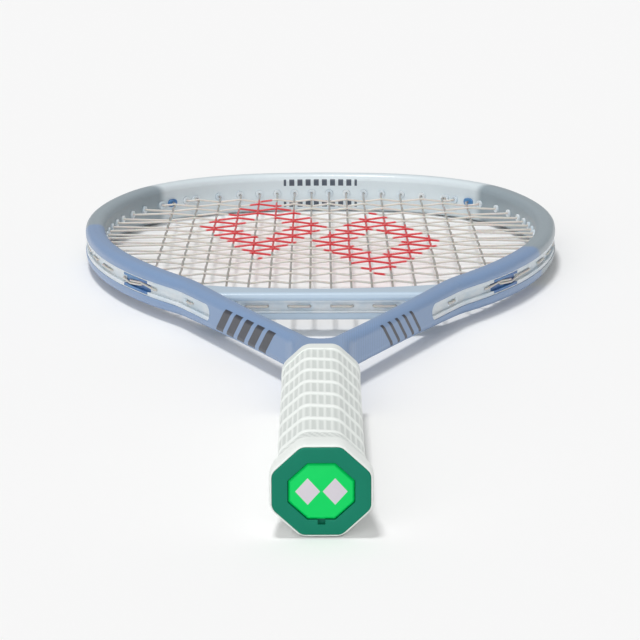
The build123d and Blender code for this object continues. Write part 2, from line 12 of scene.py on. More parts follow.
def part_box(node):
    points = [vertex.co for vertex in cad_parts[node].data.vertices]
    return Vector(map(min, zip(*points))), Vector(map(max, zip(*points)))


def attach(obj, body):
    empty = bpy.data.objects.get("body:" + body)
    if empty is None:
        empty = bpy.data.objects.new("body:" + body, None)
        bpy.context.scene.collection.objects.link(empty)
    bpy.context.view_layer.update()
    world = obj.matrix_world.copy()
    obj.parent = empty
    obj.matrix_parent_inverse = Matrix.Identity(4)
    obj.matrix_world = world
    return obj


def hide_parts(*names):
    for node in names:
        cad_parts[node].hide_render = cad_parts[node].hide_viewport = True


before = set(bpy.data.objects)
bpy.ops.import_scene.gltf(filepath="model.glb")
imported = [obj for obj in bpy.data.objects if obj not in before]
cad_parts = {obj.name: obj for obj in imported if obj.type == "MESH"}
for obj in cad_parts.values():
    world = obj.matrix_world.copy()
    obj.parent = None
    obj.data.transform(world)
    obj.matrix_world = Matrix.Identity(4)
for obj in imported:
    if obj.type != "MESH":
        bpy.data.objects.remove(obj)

bl_info = {
    "name": "Tennis racket finishes",
    "version": (1, 0, 0),
    "blender": (4, 5, 0),
    "location": "View3D > Sidebar > Racket",
    "description": "Paints, strings, grips and lights a packed tennis racket",
    "category": "Object",
}

BODY = "racket"
DOOR_BODY = "door"
MM = 0.001

bpy.context.view_layer.update()
STRING_LEVEL = sum(corner.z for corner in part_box("main_strings")) / 2
BUTT_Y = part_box("butt_cap")[0].y
HANDLE_LOW, HANDLE_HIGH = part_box("handle_pallet")
TIP_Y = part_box("frame_hairpin")[1].y


def paint_colour(red, green, blue):
    """A display colour, 0 to 255, as the linear colour that shaders take."""
    def linear(value):
        share = value / 255
        return share / 12.92 if share <= 0.04045 else ((share + 0.055) / 1.055) ** 2.4
    return (linear(red), linear(green), linear(blue))


def colour_property(name, description, display):
    return bpy.props.FloatVectorProperty(
        name=name, description=description, subtype="COLOR", size=3, min=0, max=1,
        default=paint_colour(*display))


def length_property(name, description, millimetres):
    return bpy.props.FloatProperty(
        name=name, description=description, unit="LENGTH", min=0, default=millimetres * MM)


# ---------------------------------------------------------------- settings
class RacketPaint(bpy.types.PropertyGroup):
    arm: colour_property("Arms", "Paint of the arms and the lower hoop", (124, 152, 190))
    side: colour_property("Sides", "Paint of the upper sides of the hoop", (146, 160, 168))
    tip: colour_property("Tip", "Pearl paint of the hoop's tip", (216, 227, 232))
    bridge: colour_property("Bridge", "Pearl paint of the throat bridge", (186, 206, 223))
    # The bridge underside colour is the bridge paint darkened as painted shade on its lower half.
    shade: colour_property("Bridge underside", "Paint of the bridge's lower half", (180, 198, 214))
    ink: colour_property("Ink", "Printed bars on the arms", (20, 26, 44))
    tip_ink: colour_property("Tip ink", "Printed bars inside the tip", (72, 82, 96))


class RacketPlastics(bpy.types.PropertyGroup):
    grommet: colour_property("Grommets", "Clear plastic of the strips and the bumper", (236, 243, 247))
    insert: colour_property("Corner inserts", "Blue plastic of the corner inserts", (40, 100, 172))
    cap: colour_property("Butt cap", "Dark green plastic of the butt cap", (6, 124, 98))
    door: colour_property("Butt door", "Bright green plastic of the trap door", (0, 214, 100))
    emblem: colour_property("Emblem", "Pad print on the trap door", (214, 208, 216))


class RacketStrings(bpy.types.PropertyGroup):
    # The mains colour is the string's colour darkened as painted shade; the crosses carry its own colour.
    shaded_mains: colour_property("Mains", "Bare main string", (158, 154, 148))
    crosses: colour_property("Crosses", "Bare cross string", (212, 207, 199))
    stencil: colour_property("Stencil", "Ink of the string stencil", (212, 36, 46))
    ring_half_width: length_property("Half width", "Half the width of a stencil lozenge", 37)
    ring_half_length: length_property("Half length", "Half the length of a stencil lozenge", 98)
    ring_band: bpy.props.FloatProperty(
        name="Band", description="Share of a lozenge that its open middle takes", default=0.42, min=0, max=1)


class RacketGrip(bpy.types.PropertyGroup):
    base: colour_property("Grip", "Wrapped grip", (239, 244, 240))
    # The cell colour is the grip darkened as painted shade in the pressed cells.
    cell: colour_property("Cells", "Pressed cells of the grip", (212, 218, 214))
    thickness: length_property("Thickness", "Grip over the bare handle", 1.5)
    corner: length_property("Corner", "Rounding of the gripped handle's edges", 7.0)
    pitch: length_property("Pitch", "Advance of one turn of the winding", 20.6)
    cell_pitch: length_property("Cell pitch", "Spacing of the cells round the handle", 2.9)
    tape_width: length_property("Tape width", "Width of the finishing tape", 9.0)


class RacketStage(bpy.types.PropertyGroup):
    floor: colour_property("Floor", "Plain pale floor", (248, 248, 248))
    camera_tilt: bpy.props.FloatProperty(
        name="Camera tilt", description="How far the camera looks down", subtype="ANGLE",
        default=math.radians(12.316))
    camera_distance: length_property("Camera distance", "From the butt back to the camera", 980)
    camera_height: length_property("Camera height", "Above the string plane", 280.2)
    lens: bpy.props.FloatProperty(name="Lens", description="Focal length, millimetres", default=151.8)


FOAM = paint_colour(70, 74, 72)
STEEL = paint_colour(170, 172, 175)
GROMMET_DEPTH = paint_colour(216, 230, 240)
INSERT_DEPTH = paint_colour(90, 150, 206)

SETTINGS = {
    "racket_paint": RacketPaint,
    "racket_plastics": RacketPlastics,
    "racket_strings": RacketStrings,
    "racket_grip": RacketGrip,
    "racket_stage": RacketStage,
}


# ---------------------------------------------------------------- node materials
class Finish:
    """A node material, built in steps round one Principled shader."""

    def __init__(self, name, **sockets):
        self.material = bpy.data.materials.new(name)
        self.material.use_nodes = True
        self.tree = self.material.node_tree
        self.shader = self.tree.nodes["Principled BSDF"]
        self.set(**sockets)

    def set(self, **sockets):
        """Sets sockets by name, where an underscore stands for a space."""
        for name, value in sockets.items():
            self.feed(self.shader.inputs[name.replace("_", " ")], value)

    def feed(self, socket, value):
        if isinstance(value, bpy.types.NodeSocket):
            self.tree.links.new(value, socket)
        elif hasattr(value, "__len__") and len(value) == 3 and socket.type == "RGBA":
            socket.default_value = (*value, 1)
        else:
            socket.default_value = value

    def node(self, kind, values=(), **settings):
        node = self.tree.nodes.new(kind)
        for name, value in settings.items():
            setattr(node, name, value)
        for place, value in dict(values).items():
            self.feed(node.inputs[place], value)
        return node

    def math(self, operation, *values, clamp=False):
        node = self.node("ShaderNodeMath", enumerate(values), operation=operation, use_clamp=clamp)
        return node.outputs[0]

    def place(self):
        """The x, y and z of the spot that is shaded, in the part's own frame."""
        spot = self.node("ShaderNodeTexCoord").outputs["Object"]
        return self.node("ShaderNodeSeparateXYZ", {0: spot}).outputs

    def step(self, value, low, high):
        """0 below low and 1 above high, smooth between."""
        kind = {"interpolation_type": "SMOOTHSTEP"}
        values = {"Value": value, "From Min": low, "From Max": high}
        return self.node("ShaderNodeMapRange", values, **kind).outputs["Result"]

    def window(self, value, low, high, soft):
        """1 between low and high."""
        return self.math("MULTIPLY", self.step(value, low - soft, low + soft),
                         self.math("SUBTRACT", 1.0, self.step(value, high - soft, high + soft)))

    def all(self, *masks):
        result = masks[0]
        for mask in masks[1:]:
            result = self.math("MULTIPLY", result, mask)
        return result

    def either(self, *masks):
        result = masks[0]
        for mask in masks[1:]:
            result = self.math("MAXIMUM", result, mask)
        return result

    def stripes(self, value, pitch, share, soft):
        """Repeats along value: 1 over the middle share of each pitch."""
        turn = self.math("FRACT", self.math("DIVIDE", value, pitch))
        return self.window(turn, 0.5 - share / 2, 0.5 + share / 2, soft)

    def mix(self, share, first, second):
        node = self.node("ShaderNodeMix", {0: share, 6: first, 7: second}, data_type="RGBA")
        return node.outputs[2]

    def tone(self, colour, share, dark, light):
        """colour times a grey that runs from dark to light."""
        factor = self.node("ShaderNodeMapRange", {"Value": share, "To Min": dark, "To Max": light}).outputs[0]
        grey = self.node("ShaderNodeCombineColor", {0: factor, 1: factor, 2: factor}).outputs[0]
        node = self.node("ShaderNodeMix", {0: 1.0, 6: colour, 7: grey},
                         data_type="RGBA", blend_type="MULTIPLY")
        return node.outputs[2]

    def noise(self, scale, detail=3.0, roughness=0.55, stretch=(1, 1, 1)):
        spot = self.node("ShaderNodeTexCoord").outputs["Object"]
        spot = self.node("ShaderNodeMapping", {"Vector": spot, "Scale": stretch}).outputs[0]
        values = {"Vector": spot, "Scale": scale, "Detail": detail, "Roughness": roughness}
        return self.node("ShaderNodeTexNoise", values).outputs[0]

    def cells(self, scale, randomness=1.0):
        spot = self.node("ShaderNodeTexCoord").outputs["Object"]
        values = {"Vector": spot, "Scale": scale, "Randomness": randomness}
        return self.node("ShaderNodeTexVoronoi", values).outputs["Distance"]

    def attribute(self, name):
        return self.node("ShaderNodeAttribute", attribute_name=name).outputs["Fac"]

    def between(self, share, low, high):
        return self.node("ShaderNodeMapRange", {"Value": share, "To Min": low, "To Max": high}).outputs[0]

    def bump(self, height, distance, strength=1.0):
        values = {"Height": height, "Distance": distance, "Strength": strength}
        self.set(Normal=self.node("ShaderNodeBump", values).outputs[0])


def dress(names, material):
    """Gives CAD pieces a material."""
    for name in names:
        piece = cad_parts[name]
        piece.data.materials.clear()
        piece.data.materials.append(material)


# ---------------------------------------------------------------- paint
ARM_PRINT_Y = (BUTT_Y + 248 * MM, BUTT_Y + 306 * MM)
ARM_PRINT_HALF_HEIGHT = 6.2 * MM
ARM_SPREAD = 0.466
TIP_PRINT_HALF_WIDTH = 22.7 * MM
TIP_PRINT_LEVELS = (4.6 * MM, 8.6 * MM)


def arm_print(finish, x, y, level):
    """Slanted bars on the outer face of both arms, wider on the left one."""
    slanted = finish.math("ADD", y, finish.math("MULTIPLY", level, 0.9))
    height = finish.window(finish.math("ABSOLUTE", level), -1.0, ARM_PRINT_HALF_HEIGHT, 0.15 * MM)
    along = finish.math("SUBTRACT", y, ARM_PRINT_Y[0])
    beside = finish.math("SUBTRACT", finish.math("ABSOLUTE", x), finish.math("MULTIPLY", along, ARM_SPREAD))
    outer = finish.step(beside, 14.5 * MM, 15.5 * MM)
    left = finish.all(finish.window(slanted, ARM_PRINT_Y[0], ARM_PRINT_Y[1], 0.2 * MM),
                      finish.stripes(slanted, 11.6 * MM, 0.66, 0.015), finish.step(x, 0.0, -1.0 * MM))
    right = finish.all(finish.window(slanted, ARM_PRINT_Y[0] + 17 * MM, ARM_PRINT_Y[1], 0.2 * MM),
                       finish.stripes(slanted, 7.8 * MM, 0.34, 0.02), finish.step(x, 0.0, 1.0 * MM))
    return finish.all(height, outer, finish.either(left, right))


def tip_print(finish, x, y, level):
    """A row of short bars inside the tip, above and below the string holes."""
    inner = finish.window(y, TIP_Y - 14 * MM, TIP_Y - 7.8 * MM, 0.2 * MM)
    width = finish.window(x, -TIP_PRINT_HALF_WIDTH, TIP_PRINT_HALF_WIDTH, 0.15 * MM)
    height = finish.window(finish.math("ABSOLUTE", level), *TIP_PRINT_LEVELS, 0.15 * MM)
    bars = finish.stripes(x, 5.05 * MM, 0.62, 0.02)
    return finish.all(inner, width, height, bars)


def paint_finish(settings):
    """Satin paint: blue arms, grey-teal sides and a pearl tip, with printed bars."""
    finish = Finish("satin_paint", Coat_Weight=0.35, Coat_Roughness=0.18, IOR=1.5)
    x, y, z = finish.place()
    level = finish.math("SUBTRACT", z, STRING_LEVEL)
    side = finish.math("ABSOLUTE", x)
    drift = finish.math("ADD", y, finish.math("MULTIPLY", level, 0.5))
    lean = finish.math("SUBTRACT", drift, finish.math("MULTIPLY", finish.step(x, 0.0, -10 * MM), 72 * MM))
    upper = finish.step(lean, 100 * MM, 108 * MM)
    tip = finish.step(finish.math("ADD", y, finish.math("MULTIPLY", side, -0.25)), 262 * MM, 270 * MM)
    colour = finish.mix(upper, settings.arm, settings.side)
    colour = finish.mix(tip, colour, settings.tip)
    colour = finish.tone(colour, finish.noise(14, 2), 0.97, 1.02)
    colour = finish.tone(colour, finish.noise(2600, 1), 0.95, 1.04)
    hatch = finish.all(finish.stripes(x, 1.1 * MM, 0.5, 0.1), finish.window(x, 8 * MM, 32 * MM, 1 * MM),
                       finish.window(y, HANDLE_HIGH.y + 30 * MM, HANDLE_HIGH.y + 84 * MM, 8 * MM))
    colour = finish.tone(colour, hatch, 1.0, 1.09)
    colour = finish.mix(arm_print(finish, x, y, level), colour, settings.ink)
    colour = finish.mix(tip_print(finish, x, y, level), colour, settings.tip_ink)
    scuff = finish.noise(420, 4, 0.6)
    finish.set(Base_Color=colour, Roughness=finish.between(scuff, 0.36, 0.5))
    finish.bump(finish.noise(900, 2), 0.02 * MM, 0.6)
    return finish.material


def bridge_finish(settings):
    """The pearl paint of the bridge, darker on its lower half as painted shade."""
    finish = Finish("pearl_bridge_paint", Coat_Weight=0.45, Coat_Roughness=0.14)
    z = finish.place()["Z"]
    level = finish.math("SUBTRACT", z, STRING_LEVEL)
    # Below the string plane the bridge takes the darker colour as painted shade.
    colour = finish.tone(finish.mix(finish.step(level, -6 * MM, 6 * MM), settings.shade, settings.bridge),
                         finish.noise(2600, 1), 0.96, 1.03)
    finish.set(Base_Color=colour, Roughness=finish.between(finish.noise(420, 4), 0.34, 0.46))
    finish.bump(finish.noise(900, 2), 0.02 * MM, 0.6)
    return finish.material


# ---------------------------------------------------------------- plastics
def clear_plastic(name, colour, depth, see_through):
    """Moulded nylon that light enters, with flow marks and fine handling scratches."""
    finish = Finish(name, Subsurface_Weight=0.35, Subsurface_Scale=2 * MM, Subsurface_Radius=(1, 1, 1),
                    Transmission_Weight=see_through, IOR=1.45, Coat_Weight=0.2, Coat_Roughness=0.2)
    flow = finish.noise(90, 3, 0.5, (1, 0.35, 1))
    finish.set(Base_Color=finish.tone(finish.mix(finish.step(flow, 0.35, 0.65), colour, depth),
                                      finish.noise(700, 2), 0.97, 1.02),
               Roughness=finish.between(finish.noise(520, 4), 0.28, 0.46))
    finish.bump(finish.noise(600, 3), 0.04 * MM, 0.5)
    return finish.material


def moulded_plastic(name, colour, shade):
    """Fine moulded grain with a slightly uneven gloss."""
    finish = Finish(name, Specular_IOR_Level=0.2, IOR=1.48)
    grain = finish.noise(1400, 3)
    finish.set(Base_Color=finish.tone(colour, finish.noise(60, 3), *shade),
               Roughness=finish.between(finish.noise(320, 4), 0.34, 0.5))
    finish.bump(grain, 0.03 * MM, 0.6)
    return finish


# ---------------------------------------------------------------- strings
RING_CENTRES = ((-33 * MM, BUTT_Y + 556 * MM), (31 * MM, BUTT_Y + 506 * MM))


def string_finish(name, natural_or_shaded, strings):
    """String with a stencil of two open lozenges, worn a little in places. For the mains the colour given is
    the string's own colour darkened as painted shade.
    """
    finish = Finish(name, Subsurface_Weight=0.15, Subsurface_Scale=0.6 * MM, IOR=1.5, Coat_Weight=0.3,
                    Coat_Roughness=0.2)
    x, y, _ = finish.place()
    rings = []
    for ring_x, ring_y in RING_CENTRES:
        across = finish.math("DIVIDE", finish.math("ABSOLUTE", finish.math("SUBTRACT", x, ring_x)),
                             strings.ring_half_width)
        along = finish.math("DIVIDE", finish.math("ABSOLUTE", finish.math("SUBTRACT", y, ring_y)),
                            strings.ring_half_length)
        rings.append(finish.window(finish.math("ADD", across, along), strings.ring_band, 1.0, 0.02))
    stencil = finish.either(*rings)
    wear = finish.step(finish.noise(900, 3), 0.25, 0.45)
    stencil = finish.math("MULTIPLY", stencil, finish.between(wear, 0.8, 1.0))
    colour = finish.tone(natural_or_shaded, finish.noise(500, 3), 0.9, 1.05)
    finish.set(Base_Color=finish.mix(stencil, colour, strings.stencil),
               Roughness=finish.between(finish.noise(800, 2), 0.25, 0.42))
    finish.bump(finish.noise(1500, 2, 0.5, (0.3, 0.3, 1)), 0.02 * MM, 0.6)
    return finish.material


# ---------------------------------------------------------------- meshes on the handle's octagon
HANDLE_WIDTH = HANDLE_HIGH.x - HANDLE_LOW.x
HANDLE_HEIGHT = HANDLE_HIGH.z - HANDLE_LOW.z
TOP_FLAT = 12.7 * MM
SIDE_FLAT = 10.8 * MM
SIDES = 8


def octagon_corners(grow):
    """The corners of the handle's octagon, grown by an amount, each with the normal before and after it."""
    half_w, half_h = HANDLE_WIDTH / 2, HANDLE_HEIGHT / 2
    top, side = TOP_FLAT / 2, SIDE_FLAT / 2
    quarter = [(half_w, -side), (half_w, side), (top, half_h)]
    bare = quarter + [(-top, half_h), (-half_w, side), (-half_w, -side), (-top, -half_h), (top, -half_h)]
    corners = []
    for place, corner in enumerate(bare):
        before, after = bare[place - 1], bare[(place + 1) % SIDES]
        one = Vector(corner) - Vector(before)
        two = Vector(after) - Vector(corner)
        first, second = Vector((one.y, -one.x)).normalized(), Vector((two.y, -two.x)).normalized()
        half_way = (first + second).normalized()
        point = Vector(corner) + half_way * grow / half_way.dot(first)
        corners.append((point, first, second))
    return corners


def octagon_loop(grow, corner, per_side, per_corner):
    """Points round the rounded octagon, and each point's outward normal, as two arrays of x and z."""
    points, normals = [], []
    corners = octagon_corners(grow - corner)
    for place, (point, first, second) in enumerate(corners):
        start, end = math.atan2(first.y, first.x), math.atan2(second.y, second.x)
        end += 2 * math.pi if end < start else 0
        for step in range(per_corner):
            angle = start + (end - start) * step / per_corner
            normal = Vector((math.cos(angle), math.sin(angle)))
            points.append(point + normal * corner)
            normals.append(normal)
        following = corners[(place + 1) % SIDES][0]
        for step in range(per_side):
            points.append(point.lerp(following, step / per_side) + second * corner)
            normals.append(second)
    return np.array(points), np.array(normals)


def tube_mesh(name, rings, attributes=None):
    """A closed mesh from rings of equal count, where the last ring joins the first."""
    count, around = len(rings), len(rings[0])
    grid = np.arange(count * around).reshape(count, around)
    below, right = np.roll(grid, -1, 0), np.roll(grid, -1, 1)
    both = np.roll(below, -1, 1)
    faces = np.stack([grid, below, both, right], -1).reshape(-1, 4)
    return mesh_piece(name, np.concatenate(rings), faces.tolist(), attributes)


def mesh_piece(name, points, faces, attributes=None, smooth=True):
    mesh = bpy.data.meshes.new(name)
    mesh.from_pydata([tuple(p) for p in points], [], faces)
    for attribute, values in (attributes or {}).items():
        layer = mesh.attributes.new(attribute, "FLOAT", "POINT")
        layer.data.foreach_set("value", np.asarray(values, np.float32))
    mesh.polygons.foreach_set("use_smooth", [smooth] * len(mesh.polygons))
    mesh.update()
    piece = bpy.data.objects.new(name, mesh)
    bpy.context.scene.collection.objects.link(piece)
    return piece


def ring_at(y, loop):
    """An octagon loop set across the handle at y from the butt."""
    return np.column_stack([loop[:, 0], np.full(len(loop), BUTT_Y + y), loop[:, 1] + STRING_LEVEL])


def finish_piece(piece, material, body, replaced):
    piece.data.materials.append(material)
    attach(piece, body)
    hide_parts(*replaced)
    return piece


# ---------------------------------------------------------------- grip
GRIP_STATIONS = [(0.55, 3.6), (0.7, 3.82), (1.1, 4.0), (2.2, 4.25), (5.0, 4.42), (8.0, 4.4), (15.0, 3.6),
                 (22.0, 2.7), (31.0, 1.6), (36.0, 1.42), (183.0, 1.42)]
CAP_STATIONS = [(0.0, 2.7), (0.6, 3.3), (3.5, 3.3), (22.0, 1.3)]
CAP_CORNER = 4.0
GRIP_END = 183.0
SMOOTH_END = 14.0
GRIP_STEP = 0.45
GRIP_ROUND = (30, 8)


def along_stations(stations, y):
    return np.interp(y, [station[0] for station in stations], [station[1] for station in stations])


def bell(value, width):
    return np.exp(-(value / width) ** 2)


def plateau(value, half, soft):
    """1 within half of zero and 0 beyond it, with soft shoulders."""
    return 1 / (1 + np.exp((np.abs(value) - half) / soft))


def grip_relief(y, around, girth, grip):
    """Height over the wrapped grip, and how much of a cell and of a seam each point is. Millimetres."""
    pitch, cell_pitch = grip.pitch / MM, grip.cell_pitch / MM
    turn = (y - 4.0) / pitch - around / girth
    across = turn - np.floor(turn + 0.5)
    cell_count = round(girth / cell_pitch)
    column = around / girth * cell_count
    beside = column - np.floor(column + 0.5)
    worn = np.clip((y - SMOOTH_END) / 4, 0, 1) * np.clip((GRIP_END - 6 - y) / 3, 0, 1)
    away = np.abs(across) * pitch
    row = plateau(away - pitch / 2, 0.36 * pitch, 0.16)
    cell = row * plateau(beside * girth / cell_count, 0.95, 0.12) * worn
    seam = bell(across * pitch, 1.3)
    step = np.where(across > 0, np.exp(-across * pitch / 5.0), -np.exp(across * pitch / 1.0) * 0.2)
    height = 0.26 * seam + 0.16 * step - 0.2 * cell - 0.3 * bell(across * pitch + 1.5, 0.35)
    pores = 0.02 * np.sin(around * 5.1) * np.sin(y * 4.3)
    fade = np.clip((y - 8) / 8, 0.25, 1)
    return height * fade + pores * (1 - cell), cell, seam * fade


def make_grip(grip):
    """The grip: a detailed wound outside, a rolled lip over the cap, and a plain bore."""
    count = int((GRIP_END - GRIP_STATIONS[3][0]) / GRIP_STEP)
    outside = [station[0] for station in GRIP_STATIONS[:3]] + list(
        np.linspace(GRIP_STATIONS[3][0], GRIP_END, count))
    rings, cells, seams = [], [], []
    for y in outside:
        grow = along_stations(GRIP_STATIONS, y)
        loop, normals = octagon_loop(grow * MM, grip.corner, *GRIP_ROUND)
        steps = np.linalg.norm(np.diff(loop, axis=0, append=loop[:1]), axis=1)
        around = np.concatenate([[0], np.cumsum(steps)[:-1]]) / MM
        height, cell, seam = grip_relief(y, around, steps.sum() / MM, grip)
        limit = 0.0 if y < GRIP_STATIONS[5][0] else 0.3
        rings.append(ring_at(y * MM, loop + normals * (np.clip(height, -0.5, limit) * MM)[:, None]))
        cells.append(cell)
        seams.append(seam)
    for y in (GRIP_END, 60.0, 22.5, 22.0, 3.5, 0.62):
        seated = y <= CAP_STATIONS[-1][0]
        grow = along_stations(CAP_STATIONS, y) if seated else 0.0
        loop, normals = octagon_loop((grow + 0.03) * MM, (CAP_CORNER if seated else 0.4) * MM, *GRIP_ROUND)
        rings.append(ring_at(y * MM, loop))
        cells.append(np.zeros(len(loop)))
        seams.append(np.zeros(len(loop)))
    return tube_mesh("wound_grip", rings, {"cell": np.concatenate(cells), "seam": np.concatenate(seams)})


def grip_finish(grip):
    """Tacky white grip: greyer in the pressed cells as painted shade, lighter along the raised seams as
    painted highlight, pored and matt.
    """
    finish = Finish("white_grip", Subsurface_Weight=0.2, Subsurface_Scale=1 * MM, Subsurface_Radius=(1, 1, 1),
                    Sheen_Weight=0.15, Sheen_Roughness=0.5, IOR=1.45)
    cell, seam = finish.attribute("cell"), finish.attribute("seam")
    # The pressed cells take the darker colour as painted shade.
    colour = finish.tone(finish.mix(cell, grip.base, grip.cell), finish.noise(80, 3), 0.96, 1.02)
    # Lighter along the raised seams, a painted highlight.
    colour = finish.tone(colour, seam, 1.0, 1.06)
    pores = finish.cells(1900)
    finish.set(Base_Color=colour, Roughness=finish.between(finish.noise(400, 3), 0.5, 0.68))
    finish.bump(finish.step(pores, 0.0, 0.55), 0.05 * MM, 0.7)
    return finish.material


def make_tape(grip):
    """The finishing tape: one and a bit turns, with a raised overlap."""
    start = GRIP_END - grip.tape_width / MM
    rings = []
    profile = [(start, 0.05), (start + 0.15, 0.36), (start + 0.4, 0.4)]
    profile += [(y, 0.4) for y in np.linspace(start + 1, GRIP_END - 1, 12)]
    profile += [(GRIP_END - 0.4, 0.4), (GRIP_END - 0.15, 0.36), (GRIP_END, 0.05)]
    profile += [(GRIP_END, -0.3), (start, -0.3)]
    for y, rise in profile:
        loop, normals = octagon_loop(grip.thickness, grip.corner, *GRIP_ROUND)
        rings.append(ring_at(y * MM, loop + normals * rise * MM))
    return tube_mesh("grip_tape", rings)


def tape_finish(grip):
    finish = Finish("finishing_tape", Coat_Weight=0.3, Coat_Roughness=0.25)
    weave = finish.noise(900, 2, 0.5, (1, 0.2, 1))
    finish.set(Base_Color=finish.tone(grip.base, finish.noise(60, 2), 0.97, 1.02),
               Roughness=finish.between(finish.noise(300, 3), 0.35, 0.5))
    finish.bump(weave, 0.03 * MM, 0.5)
    return finish.material


# ---------------------------------------------------------------- butt cap and door
DOOR_INSET = 2.9
DOOR_GAP = 0.15
DOOR_LEDGE = 1.4
DOOR_BACK = 3.2
DOOR_LEG = (5.0, 1.4, 8.0)
LEG_GAP = 0.01 * MM
CAP_SEAT = 3.35
PALLET_START = 5.0
CAP_ROUND = (10, 6)
PRY_SLOT = (2.9, 1.9, 2.2)
PRY_OVERLAP = 0.4 * MM
CAP_SHARP = math.radians(35)
DOOR_SHARP = math.radians(24)
DOOR_PROFILE = [(DOOR_BACK, 0.0), (1.25, 0.0), (1.05, -0.05), (0.92, -0.16), (0.4, -0.7), (0.26, -0.86),
                (0.2, -1.1)]
EMBLEM_OFFSET = 5.2 * MM
EMBLEM_HALF = (4.7 * MM, 5.2 * MM)


def bevelled(points, turns):
    """A profile of (y, grow, radius) points as plain (y, grow) ones, each corner rounded by a short arc."""
    result = []
    for place, (y, grow, radius) in enumerate(points):
        here = Vector((y, grow))
        before = (Vector(points[place - 1][:2]) - here).normalized()
        after = (Vector(points[(place + 1) % len(points)][:2]) - here).normalized()
        start, end = here + before * radius, here + after * radius
        for step in range(turns + 1 if radius else 1):
            share = step / turns
            result.append(start.lerp(here, share).lerp(here.lerp(end, share), share))
    return result


BOX_FACES = ((0, 1, 3, 2), (4, 6, 7, 5), (0, 4, 5, 1), (2, 3, 7, 6), (0, 2, 6, 4), (1, 5, 7, 3))


def box_corners(low, high):
    return [(x, y, z) for x in (low[0], high[0]) for y in (low[1], high[1]) for z in (low[2], high[2])]


def cut(piece, cutter):
    """Takes the cutter out of the piece and removes it."""
    step = piece.modifiers.new("cut", "BOOLEAN")
    step.object, step.operation, step.solver = cutter, "DIFFERENCE", "EXACT"
    bpy.context.view_layer.update()
    cut_mesh = bpy.data.meshes.new_from_object(piece.evaluated_get(bpy.context.evaluated_depsgraph_get()))
    piece.modifiers.clear()
    piece.data = cut_mesh
    bpy.data.objects.remove(cutter)


def make_cap():
    """The cap: a flared ring with a rounded lip, a seat for the door and a notch to pry it open."""
    inner = DOOR_GAP - DOOR_INSET
    lip, end = CAP_STATIONS[2], CAP_STATIONS[3]
    profile = [(0.0, inner, 0.35), (CAP_SEAT, inner, 0), (CAP_SEAT, inner - DOOR_LEDGE, 0),
               (PALLET_START - 0.05, inner - DOOR_LEDGE, 0), (PALLET_START - 0.05, 0.03, 0),
               (end[0], 0.03, 0),
               (end[0], end[1] - 0.03, 0.2), (lip[0], lip[1] - 0.02, 0.8), (0.0, lip[1] - 0.02, 0.7)]
    rings = []
    for y, grow in bevelled(profile, 4):
        loop, _ = octagon_loop(grow * MM, (CAP_CORNER if grow > 1 else 0.4) * MM, *CAP_ROUND)
        rings.append(ring_at(y * MM, loop))
    cap = tube_mesh("butt_cap_shell", rings)
    width, height, depth = (size * MM for size in PRY_SLOT)
    edge = STRING_LEVEL - HANDLE_HEIGHT / 2 - inner * MM
    notch = box_corners((-width / 2, BUTT_Y - depth, edge - height),
                        (width / 2, BUTT_Y + depth, edge + PRY_OVERLAP))
    cut(cap, mesh_piece("pry_cutter", notch, BOX_FACES, smooth=False))
    cap.data.set_sharp_from_angle(angle=CAP_SHARP)
    return cap


def make_door():
    """The trap door: a flat panel with a wide bevel, and two legs that hold it in the cap."""
    points, faces = [], []
    for y, grow in DOOR_PROFILE:
        loop, _ = octagon_loop((grow - DOOR_INSET) * MM, 0.5 * MM, *CAP_ROUND)
        points.extend(ring_at(y * MM, loop))
    around, rings = len(points) // len(DOOR_PROFILE), len(DOOR_PROFILE)
    for ring in range(rings - 1):
        for spot in range(around):
            beside = (spot + 1) % around
            faces.append([ring * around + spot, (ring + 1) * around + spot,
                          (ring + 1) * around + beside, ring * around + beside])
    faces.append(list(range(around)))
    faces.append(list(range(rings * around - 1, (rings - 1) * around - 1, -1)))
    width, thickness, length = (size * MM for size in DOOR_LEG)
    level = HANDLE_HEIGHT / 2 - (DOOR_INSET + DOOR_LEDGE + DOOR_GAP) * MM - thickness / 2
    root = BUTT_Y + DOOR_BACK * MM + LEG_GAP
    for side in (1, -1):
        start = len(points)
        centre = STRING_LEVEL + side * level
        points += box_corners((-width / 2, root, centre - thickness / 2),
                              (width / 2, root + length, centre + thickness / 2))
        faces += [[start + spot for spot in face] for face in BOX_FACES]
    door = mesh_piece("trap_door", points, faces)
    door.data.set_sharp_from_angle(angle=DOOR_SHARP)
    return door


def door_finish(plastics):
    """Bright plastic with two plain lozenges printed on its face."""
    moulded = moulded_plastic("door_plastic", plastics.door, (0.96, 1.04))
    x, y, z = moulded.place()
    beside = moulded.math("ABSOLUTE", moulded.math("SUBTRACT", moulded.math("ABSOLUTE", x), EMBLEM_OFFSET))
    above = moulded.math("ABSOLUTE", moulded.math("SUBTRACT", z, STRING_LEVEL))
    form = moulded.math("ADD", moulded.math("DIVIDE", beside, EMBLEM_HALF[0]),
                        moulded.math("DIVIDE", above, EMBLEM_HALF[1]))
    face = moulded.step(y, BUTT_Y + 0.5 * MM, BUTT_Y + 0.3 * MM)
    printed = moulded.all(face, moulded.step(form, 1.02, 0.98))
    plain = moulded.tone(plastics.door, moulded.noise(60, 3), 0.96, 1.04)
    moulded.set(Base_Color=moulded.mix(printed, plain, plastics.emblem))
    return moulded.material


class RacketOperator:
    """What the operators here share: they are undoable and raise what goes wrong."""

    bl_options = {"REGISTER", "UNDO"}


class RACKET_OT_paint(RacketOperator, bpy.types.Operator):
    """Paint the frame and the throat bridge, and shade the hidden handle foam"""

    bl_idname = "racket.paint"
    bl_label = "Paint frame"

    def execute(self, context):
        paint = context.scene.racket_paint
        dress(["frame_hairpin"], paint_finish(paint))
        dress(["throat_bridge"], bridge_finish(paint))
        foam = moulded_plastic("handle_foam", FOAM, (0.85, 1.1))
        dress(["handle_pallet"], foam.material)
        return {"FINISHED"}


